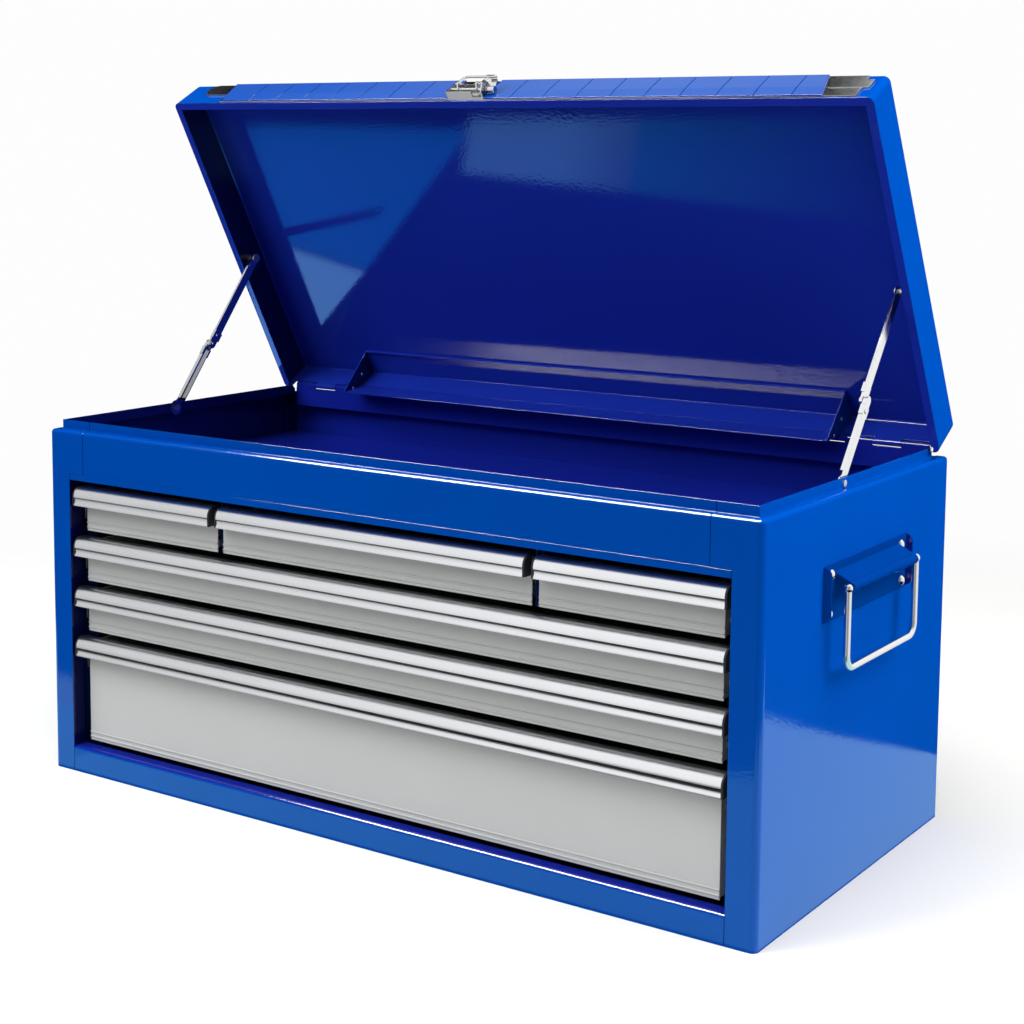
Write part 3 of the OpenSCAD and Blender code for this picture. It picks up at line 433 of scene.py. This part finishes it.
def dress(nodes, material):
    """Gives CAD nodes a finish in their material slots."""
    for node in nodes:
        slots = frame["nodes"][node].data.materials
        slots.clear()
        slots.append(material)


def plate_fitting(piece, body):
    """Nickel plates a small new piece and sets it on its body."""
    piece.data.materials.append(bpy.data.materials["bright_nickel_plate"])
    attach(piece, body)


def finishes(context):
    """The scene's finish settings."""
    return context.scene.chest_finish


def nodes_in_slot(slot):
    """The CAD nodes that the record gives a material slot."""
    return [part["node"] for part in frame["record"]["subparts"] if part["material_slot"] == slot]


class CHEST_OT_paint_sheet_metal(bpy.types.Operator):
    """Enamel the cabinet, the lid and their folded brackets"""

    bl_idname = "chest.paint_sheet_metal"
    bl_label = "Paint sheet metal"

    def execute(self, context):
        look = finishes(context)
        lid_middle = tuple(swung(CLOSED_LID_MIDDLE))
        # Both inside colours are painted shade of the unlit till and lid
        cabinet = blue_enamel("baked_blue_enamel", look.enamel, look.till_inside_shade, TILL_MIDDLE)
        lid = blue_enamel("baked_blue_enamel_lid", look.enamel, look.enamel_lid, lid_middle)
        blue = nodes_in_slot("blue_paint")
        if not blue:
            raise RuntimeError("the record has no node in the blue_paint slot")
        # The pin was painted with the hinge it holds
        dress(["hinge_pin", *(n for n in blue if n not in LID_NODES)], cabinet)
        dress([n for n in blue if n in LID_NODES], lid)
        return {"FINISHED"}


class CHEST_OT_finish_drawers(bpy.types.Operator):
    """Enamel the trays and finish their pulls, end plugs and runners"""

    bl_idname = "chest.finish_drawers"
    bl_label = "Finish drawers"

    def execute(self, context):
        look = finishes(context)
        dress(nodes_in_slot("grey_paint"), grey_enamel("satin_grey_enamel", look.front_enamel))
        dress(nodes_in_slot("pull_aluminium"),
              brushed_metal("anodised_aluminium", look.aluminium, 0.28, (0.015, 1.0, 1.0), 0.9, 0.5))
        dress(nodes_in_slot("end_plug"), moulded_plastic("moulded_polypropylene", look.plug))
        return {"FINISHED"}


class CHEST_OT_trim_fronts(bpy.types.Operator):
    """End the upper drawers' fronts a little higher, so that a dark gap shows over each pull"""

    bl_idname = "chest.trim_fronts"
    bl_label = "Trim fronts"

    def execute(self, context):
        sizes = context.scene.chest_fittings
        for drawer in UPPER_DRAWERS:
            node = f"{drawer}_tray"
            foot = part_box(node)[0][2]
            mesh = frame["nodes"][node].data.copy()
            mesh.name = f"{drawer}_drawer_box"
            points = np.empty(3 * len(mesh.vertices))
            mesh.vertices.foreach_get("co", points)
            points = points.reshape(-1, 3)
            # z rises by the trim for every point of the foot band; the wall above it gets shorter
            points[:, 2] += np.where(points[:, 2] < foot + sizes.foot_band, sizes.front_trim, 0.0)
            mesh.vertices.foreach_set("co", points.ravel())
            mesh.update()
            piece = new_object(mesh.name, mesh)
            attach(piece, f"{drawer}_drawer")
            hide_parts(node)
        return {"FINISHED"}


class CHEST_OT_finish_fittings(bpy.types.Operator):
    """Plate the handles, stays, latch, rail, slides and rivets"""

    bl_idname = "chest.finish_fittings"
    bl_label = "Finish fittings"

    def execute(self, context):
        look = finishes(context)
        dress([n for n in nodes_in_slot("bright_steel") if n != "hinge_pin"],
              brushed_metal("bright_nickel_plate", look.plate, 0.14, (1.0, 1.0, 1.0), 3.0, 0.05))
        dress(nodes_in_slot("zinc_plate"),
              brushed_metal("bright_zinc_plate", look.zinc, 0.34, (1.0, 0.03, 1.0), 1.0))
        return {"FINISHED"}


class CHEST_OT_add_stay_rivets(bpy.types.Operator):
    """Add the rivets beside each stay's knuckle"""

    bl_idname = "chest.add_stay_rivets"
    bl_label = "Add stay rivets"

    def execute(self, context):
        radius = context.scene.chest_fittings.knuckle_rivet
        for side in SIDES:
            foot = PIVOTS[f"stay_lower_{side}_pivot"]
            head = PIVOTS[f"stay_upper_{side}_pivot"]
            along = np.array([0.0, head[1] - foot[1], head[2] - foot[2]])
            reach = np.linalg.norm(along)
            along /= reach
            self.rivet_link(side, "lower", "upper", foot, along, LOWER_LINK, radius)
            self.rivet_link(side, "upper", "lower", head, -along, reach - LOWER_LINK, radius)
        return {"FINISHED"}

    def rivet_link(self, side, link, other, start, step, length, radius):
        """Rivets on one link, back from its knuckle. Only the face away from the other link has heads,
        so that the stay can fold flat."""
        low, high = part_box(f"stay_{link}_{side}")
        other_low, other_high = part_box(f"stay_{other}_{side}")
        is_east = low[0] + high[0] > other_low[0] + other_high[0]
        face, outward = (high[0] - SEAT, 1.0) if is_east else (low[0] + SEAT, -1.0)
        places = []
        for inset in KNUCKLE_RIVETS[link]:
            spot = start + step * (length - inset)
            places.append(((face, spot[1], spot[2]), (outward, 0.0, 0.0)))
        piece = rivet_row(f"stay_{link}_{side}_rivets", places, radius, HEAD)
        plate_fitting(piece, f"stay_{link}_{side}")


class CHEST_OT_add_lid_rivets(bpy.types.Operator):
    """Add the rivets of the piano hinge's leaves and of the bracket's gussets"""

    bl_idname = "chest.add_lid_rivets"
    bl_label = "Add lid rivets"

    def execute(self, context):
        sizes = context.scene.chest_fittings
        # Places on the closed lid and on the cabinet: three rivets at each end of either leaf
        leaf_face = HINGE[1] - 1.5 * MM
        rise = 12.0 * MM
        across = [sign * x * MM for sign in (-1, 1) for x in (260.0, 287.0, 312.0)]
        forward = (0.0, -1.0, 0.0)
        on_lid = [(swung((x, leaf_face, HINGE[2] + rise)), swung_direction(forward)) for x in across]
        on_cabinet = [((x, leaf_face, HINGE[2] - rise), forward) for x in across]
        plate_fitting(rivet_row("hinge_lid_rivets", on_lid, sizes.hinge_rivet, HEAD), "lid")
        plate_fitting(rivet_row("hinge_body_rivets", on_cabinet, sizes.hinge_rivet, HEAD), "cabinet")
        # Both faces of the gussets, whose sheet is 1 mm
        outer, inner = 244.0 * MM, 243.0 * MM
        spots = ((HINGE[1] - 12.0 * MM, HINGE[2] + 9.0 * MM), (HINGE[1] - 8.0 * MM, HINGE[2] - 8.0 * MM))
        on_gussets = [(swung((sign * x, y, z)), (sign * out, 0.0, 0.0))
                      for sign in (-1, 1) for y, z in spots
                      for x, out in ((outer, 1.0), (inner, -1.0))]
        plate_fitting(rivet_row("gusset_rivets", on_gussets, sizes.gusset_rivet, SMALL_HEAD), "lid")
        return {"FINISHED"}


class CHEST_OT_add_bail_balls(bpy.types.Operator):
    """Add the swollen bends where each side handle's wire turns in to its roll"""

    bl_idname = "chest.add_bail_balls"
    bl_label = "Add bail balls"

    def execute(self, context):
        radius = context.scene.chest_fittings.bail_ball
        t = np.linspace(-math.pi / 2.0, math.pi / 2.0, 15)
        ball = np.stack([radius * np.cos(t), radius * np.sin(t)], axis=1)
        for side in SIDES:
            pivot = PIVOTS[f"handle_bail_{side}_swing"]
            ends = []
            for end in (-BAIL_REACH, BAIL_REACH):
                points = turned_points(ball, pivot + np.array([0.0, end, 0.0]), (0.0, 1.0, 0.0))
                ends.append(grid_mesh("ball", points, close_v=True))
            plate_fitting(joined(f"handle_bail_{side}_bends", ends), f"handle_bail_{side}")
        return {"FINISHED"}


def soft_light(name, place, aim, size, power, shines="diffuse"):
    """A rectangular soft box at place, turned to face aim; the camera doesn't see it, and it either
    lights surfaces or only shines in their gloss."""
    data = bpy.data.lights.new(name, "AREA")
    data.shape = "RECTANGLE"
    data.size, data.size_y = size
    data.energy = power
    lamp = new_object(name, data)
    way = np.asarray(aim, float) - np.asarray(place, float)
    away = -way / np.linalg.norm(way)
    a, b = axes_of(away)
    lamp.matrix_world = Matrix((
        (a[0], b[0], away[0], place[0]), (a[1], b[1], away[1], place[1]),
        (a[2], b[2], away[2], place[2]), (0.0, 0.0, 0.0, 1.0)))
    lamp.visible_camera = False
    lamp.visible_diffuse = shines == "diffuse"
    lamp.visible_glossy = shines == "gloss"
    return lamp


def light_only(source, name, receivers):
    """Lets a light or a glowing card reach only the receivers."""
    group = bpy.data.collections.new(name)
    for receiver in receivers:
        group.objects.link(receiver)
    source.light_linking.receiver_collection = group


def finished_in(*names):
    """The chest's pieces that have one of the named materials first."""
    return [piece for piece in bpy.data.objects
            if piece.type == "MESH" and piece.data.materials and piece.data.materials[0].name in names]


def sheet(corners, height):
    """Grid of a level four-cornered sheet: p(u, v) blends its corners."""
    c = np.array([(x, y, height) for x, y in corners])
    u, v = np.meshgrid(np.linspace(0, 1, 2), np.linspace(0, 1, 2), indexing="ij")
    u, v = u[..., None], v[..., None]
    return (1 - u) * (1 - v) * c[0] + u * (1 - v) * c[1] + u * v * c[2] + (1 - u) * v * c[3]


class CHEST_OT_set_studio(bpy.types.Operator):
    """Set the floor, the soft light and the camera"""

    bl_idname = "chest.set_studio"
    bl_label = "Set studio"

    def execute(self, context):
        scene = context.scene
        studio = scene.chest_studio
        self.lay_floor(studio)
        self.hang_lights()
        self.hang_cards()
        self.fill_air(scene)
        self.place_camera(scene, studio)
        scene.view_settings.view_transform = "Standard"
        scene.view_settings.look = "None"
        return {"FINISHED"}

    def place_camera(self, scene, studio):
        """The camera stands at the eye, turned, dipped and rolled as the studio's settings say."""
        data = bpy.data.cameras.new("chest_camera")
        data.sensor_fit = "HORIZONTAL"
        data.sensor_width = 36.0
        data.lens = studio.lens
        data.shift_y = studio.rise
        data.dof.use_dof = False
        camera = new_object("chest_camera", data)
        camera.matrix_world = (
            Matrix.Translation(studio.eye) @ Matrix.Rotation(studio.turn, 4, "Z")
            @ Matrix.Rotation(math.pi / 2.0 - studio.dip, 4, "X") @ Matrix.Rotation(studio.roll, 4, "Z"))
        scene.camera = camera

    def lay_floor(self, studio):
        """A wide flat sheet just under the chest, which fades into the pale air round it."""
        side = np.linspace(-6.0, 6.0, 3)
        x, y = np.meshgrid(side, side)
        floor = grid_mesh("studio_floor", np.stack([x, y, np.full_like(x, UNDER_CHEST)], axis=-1))
        material, tree, shader = new_material("matt_paper")
        place = add_node(tree, "ShaderNodeTexCoord").outputs["Object"]
        cloud = add_node(tree, "ShaderNodeTexNoise", {"Vector": place, "Scale": 3.0, "Detail": 2.0})
        pale = linear_colour(studio.floor)
        dim = add_node(tree, "ShaderNodeHueSaturation", {"Value": 0.98, "Color": pale})
        shade = add_node(tree, "ShaderNodeMix",
                         {0: cloud.outputs["Fac"], 6: dim.outputs["Color"], 7: pale}, data_type="RGBA")
        tree.links.new(shade.outputs[2], shader.inputs["Base Color"])
        shader.inputs["Roughness"].default_value = 0.8
        shader.inputs["Specular IOR Level"].default_value = 0.1
        reach = add_node(tree, "ShaderNodeVectorMath", {0: place}, operation="LENGTH")
        fade = add_node(tree, "ShaderNodeMapRange",
                        {"Value": reach.outputs["Value"], "From Min": 0.55, "From Max": 1.3},
                        interpolation_type="SMOOTHSTEP")
        clear = add_node(tree, "ShaderNodeBsdfTransparent")
        faded = add_node(tree, "ShaderNodeMixShader",
                         {0: fade.outputs["Result"], 1: shader.outputs["BSDF"], 2: clear.outputs["BSDF"]})
        output = next(node for node in tree.nodes if node.type == "OUTPUT_MATERIAL")
        tree.links.new(faded.outputs["Shader"], output.inputs["Surface"])
        floor.data.materials.append(material)
        floor.visible_glossy = False

    def hang_lights(self):
        """An overhead soft box and two fills light the chest. One more only shines in the enamel's
        gloss, mostly along its bends, but not in the till's floor, which would pass it on to the lid."""
        middle = (0.0, 0.0, 0.2)
        soft_light("overhead", (0.1, -0.5, 2.2), middle, (2.4, 1.8), 50.0)
        soft_light("front_fill", (-1.3, -1.4, 1.7), middle, (2.0, 1.4), 53.0)
        soft_light("right_fill", (1.5, 0.35, 1.3), (0.3, 0.0, 0.3), (1.2, 1.2), 29.0)
        edges = soft_light("edge_gloss", (-0.7, -0.5, 2.2), middle, (1.8, 1.8), 420.0, "gloss")
        enamelled = finished_in("baked_blue_enamel", "baked_blue_enamel_lid")
        enamelled.remove(frame["nodes"]["till_floor"])
        light_only(edges, "enamelled", enamelled)

    def hang_cards(self):
        """Pale surfaces that show only in the gloss: cards by the lid, the floor in the lower walls,
        and the room in the bright metal."""
        self.hang_lid_cards()
        self.hang_floor_cards()
        # The room: a ball, p = r (cos e cos a, cos e sin a, sin e); dim low behind on the left, and
        # dim before the chest, which puts a dark streak down the handles' round wire
        room = 4.0
        e, a = np.meshgrid(np.linspace(-math.pi / 2.0, math.pi / 2.0, 25),
                           np.linspace(0.0, 2.0 * math.pi, 48, endpoint=False), indexing="ij")
        ball = room * np.stack([np.cos(e) * np.cos(a), np.cos(e) * np.sin(a), np.sin(e)], axis=-1)
        behind = (-0.61, 0.78, 0.15)
        before = (0.60, -0.74, 0.30)
        metals = finished_in("bright_nickel_plate", "bright_zinc_plate", "anodised_aluminium")
        self.hang_card("card_room", ball, (0.99, 1.0, 1.0), 1.0, metals, (
            (behind, 3.6, 2.9, 0.14, 1.0), (before, 3.5, 2.4, 0.3, 1.0),
            (EAST, -3.0, -1.8, 0.62, 1.25), (UP, -3.0, 0.3, 0.6, 1.0)))

    def hang_lid_cards(self):
        """What the open lid mirrors: a pale band, its fainter end, a stretch of sky and a scrap of
        white, all in the till's mouth, and a wall high behind the chest for the rail's covers."""
        lid = [frame["nodes"]["lid_shell"]]
        band = ((-0.251, -0.123), (-0.055, -0.1225), (-0.040, -0.041), (-0.238, -0.060))
        band_end = ((-0.055, -0.1225), (0.206, -0.122), (0.238, -0.012), (-0.040, -0.041))
        sky = ((-0.551, -0.115), (-0.246, -0.109), (-0.311, 0.056), (-0.427, 0.032))
        paper = ((-0.427, 0.034), (-0.312, 0.058), (-0.343, 0.126), (-0.345, 0.128))
        self.hang_card("card_band", sheet(band, MOUTH), (0.155, 0.47, 1.0), 1.0, lid,
                       [(EAST, -0.13, -0.05, 2.7, 1.4)])
        self.hang_card("card_band_end", sheet(band_end, MOUTH), (0.02, 0.45, 1.0), 1.0, lid,
                       [(EAST, -0.06, 0.20, 1.4, 0.15)])
        self.hang_card("card_sky", sheet(sky, MOUTH), (0.0, 0.27, 1.0), 2.4, lid)
        self.hang_card("card_paper", sheet(paper, MOUTH), (0.17, 0.47, 1.0), 4.5, lid)
        wall = ((-2.1, 0.1), (-0.4, 0.1), (-0.4, 1.6), (-2.1, 1.6))
        self.hang_card("card_wall", sheet(wall, 2.0), (0.9, 1.0, 0.7), 1.0,
                       [frame["nodes"]["lid_rail_cover"]], [(EAST, -1.7, -1.0, 0.15, 0.75)])

    def hang_floor_cards(self):
        """The floor that the lower walls mirror. Beside the chest y runs from -0.35 to
        0.305 + 1.5 (x - 0.46)^2, the last term beyond x = 0.46 alone."""
        nodes = frame["nodes"]
        x, v = np.meshgrid(np.linspace(0.331, 0.80, 48), np.linspace(0.0, 1.0, 2), indexing="ij")
        near, far = -0.35, 0.305 + 1.5 * np.maximum(x - 0.46, 0.0) ** 2
        for side, sign in SIDES.items():
            floor = np.stack([sign * x, near + v * (far - near), np.full_like(x, OVER_FLOOR)], axis=-1)
            self.hang_card(f"card_floor_{side}", floor, (0.61, 0.99, 0.95), 1.0,
                           [nodes[f"side_panel_{side}"], nodes[f"handle_bail_{side}"]])
            # The handle's own image in the side is left out: it would be the brightest thing there
            for name in (f"handle_bail_{side}", f"handle_bail_{side}_bends"):
                bpy.data.objects[name].visible_glossy = False
        # Before the chest, out to a line that runs further forward on the right
        front = ((-0.75, -0.161), (0.60, -0.161), (0.60, -0.61), (-0.75, -0.19))
        walls = [nodes[name] for name in ("side_panel_left", "side_panel_right", "bottom_rail")]
        self.hang_card("card_floor_front", sheet(front, OVER_FLOOR), (0.30, 0.86, 1.0), 1.0, walls,
                       [(EAST, -0.45, 0.30, 1.5, 1.0)])

    def hang_card(self, name, points, tint, glow, receivers, ramps=()):
        """A glowing card that shows only in the receivers' gloss. Each ramp multiplies its glow: the
        factor goes from low to high as the place along an axis goes from start to end."""
        card = grid_mesh(name, points, close_v=name == "card_room")
        material = bpy.data.materials.new(name)
        material.use_nodes = True
        tree = material.node_tree
        tree.nodes.clear()
        place = add_node(tree, "ShaderNodeTexCoord").outputs["Object"]
        for axis, start, end, low, high in ramps:
            reach = add_node(tree, "ShaderNodeVectorMath", {0: place, 1: axis}, operation="DOT_PRODUCT")
            ramp = add_node(tree, "ShaderNodeMapRange",
                            {"Value": reach.outputs["Value"], "From Min": start, "From Max": end,
                             "To Min": low, "To Max": high})
            product = add_node(tree, "ShaderNodeMath", {0: ramp.outputs["Result"], 1: glow},
                               operation="MULTIPLY")
            glow = product.outputs["Value"]
        light = add_node(tree, "ShaderNodeEmission", {"Color": (*tint, 1.0), "Strength": glow})
        add_node(tree, "ShaderNodeOutputMaterial", {"Surface": light.outputs["Emission"]})
        card.data.materials.append(material)
        card.visible_camera = card.visible_diffuse = card.visible_shadow = False
        card.visible_transmission = False
        light_only(card, f"lit_by_{name}", receivers)

    def fill_air(self, scene):
        """Pale air for the camera, a dimmer one that lights the chest, and a dark one in reflections."""
        world = bpy.data.worlds.new("studio_air")
        scene.world = world
        world.use_nodes = True
        tree = world.node_tree
        tree.nodes.clear()
        path = add_node(tree, "ShaderNodeLightPath")
        white = (1.0, 1.0, 1.0, 1.0)
        seen = add_node(tree, "ShaderNodeBackground", {"Color": white, "Strength": 0.985})
        ambient = add_node(tree, "ShaderNodeBackground", {"Color": white, "Strength": 0.15})
        mirrored = add_node(tree, "ShaderNodeBackground", {"Color": white, "Strength": 0.03})
        unseen = add_node(tree, "ShaderNodeMixShader",
                          {0: path.outputs["Is Glossy Ray"], 1: ambient.outputs[0],
                           2: mirrored.outputs[0]})
        air = add_node(tree, "ShaderNodeMixShader",
                       {0: path.outputs["Is Camera Ray"], 1: unseen.outputs[0], 2: seen.outputs[0]})
        add_node(tree, "ShaderNodeOutputWorld", {"Surface": air.outputs[0]})


class CHEST_PT_tools(bpy.types.Panel):
    """Lists the chest's settings and steps"""

    bl_idname = "CHEST_PT_tools"
    bl_label = "Tool Chest"
    bl_space_type = "VIEW_3D"
    bl_region_type = "UI"
    bl_category = "Tool Chest"

    def draw(self, context):
        for group in ("chest_finish", "chest_fittings", "chest_studio"):
            settings = getattr(context.scene, group)
            column = self.layout.column(align=True)
            for name in settings.__annotations__:
                column.prop(settings, name)
        for operator in OPERATORS:
            self.layout.operator(operator.bl_idname)


GROUPS = {"chest_finish": FinishProperties, "chest_fittings": FittingProperties,
          "chest_studio": StudioProperties}
OPERATORS = (CHEST_OT_paint_sheet_metal, CHEST_OT_finish_drawers, CHEST_OT_trim_fronts,
             CHEST_OT_finish_fittings, CHEST_OT_add_stay_rivets, CHEST_OT_add_lid_rivets,
             CHEST_OT_add_bail_balls, CHEST_OT_set_studio)


def register():
    """Registers the settings, the operators and the panel."""
    for cls in (*GROUPS.values(), *OPERATORS, CHEST_PT_tools):
        bpy.utils.register_class(cls)
    for name, cls in GROUPS.items():
        setattr(bpy.types.Scene, name, PointerProperty(type=cls))


def unregister():
    """Undoes register."""
    for name in GROUPS:
        delattr(bpy.types.Scene, name)
    for cls in reversed((*GROUPS.values(), *OPERATORS, CHEST_PT_tools)):
        bpy.utils.unregister_class(cls)


def main():
    """Runs every step in order."""
    register()
    for operator in OPERATORS:
        group, name = operator.bl_idname.split(".")
        getattr(getattr(bpy.ops, group), name)()


if __name__ == "__main__":
    main()
